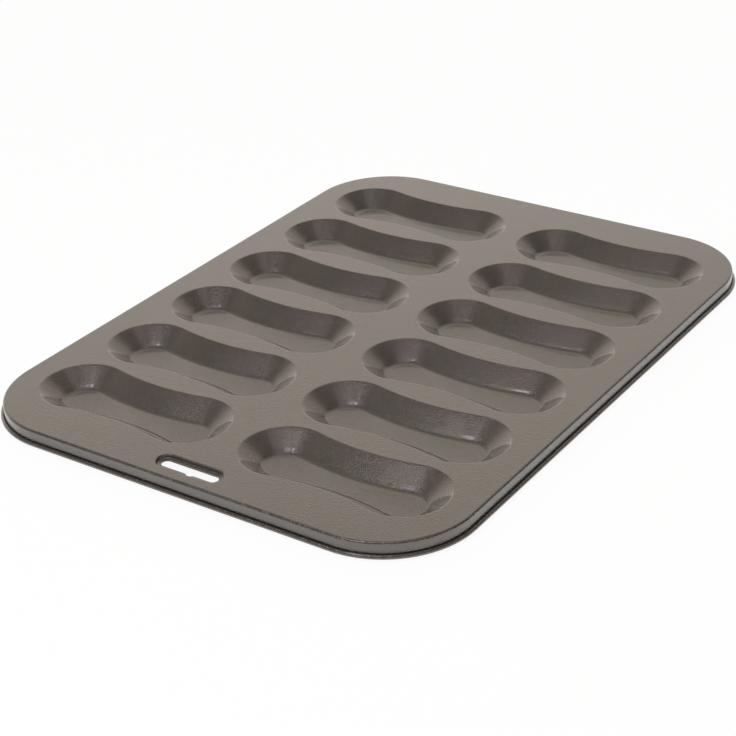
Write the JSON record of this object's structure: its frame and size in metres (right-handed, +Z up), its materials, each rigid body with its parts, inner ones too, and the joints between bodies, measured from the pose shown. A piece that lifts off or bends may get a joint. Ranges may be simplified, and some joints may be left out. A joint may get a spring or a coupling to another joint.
{
  "type": "eclair pan",
  "caption": "Shallow baking pan pressed from one coated steel sheet, with waisted cups for eclairs, a hanging slot and a wire-stiffened rolled rim.",
  "frame": {"origin": "under the middle of the pan, on the surface that the cups' floors stand on", "axes": "+X along the cups, +Y along the pan's long sides away from the hanging slot, +Z up"},
  "size_m": [0.2686, 0.3564, 0.009],
  "materials": {
    "nonstick_coat": "dark warm grey non-stick coat with a fine metallic grain, satin",
    "wire_steel": "bare drawn steel wire"
  },
  "bodies": {
    "root": {"pan_sheet": "nonstick_coat", "rim_wire": "wire_steel"}
  },
  "joints": []
}
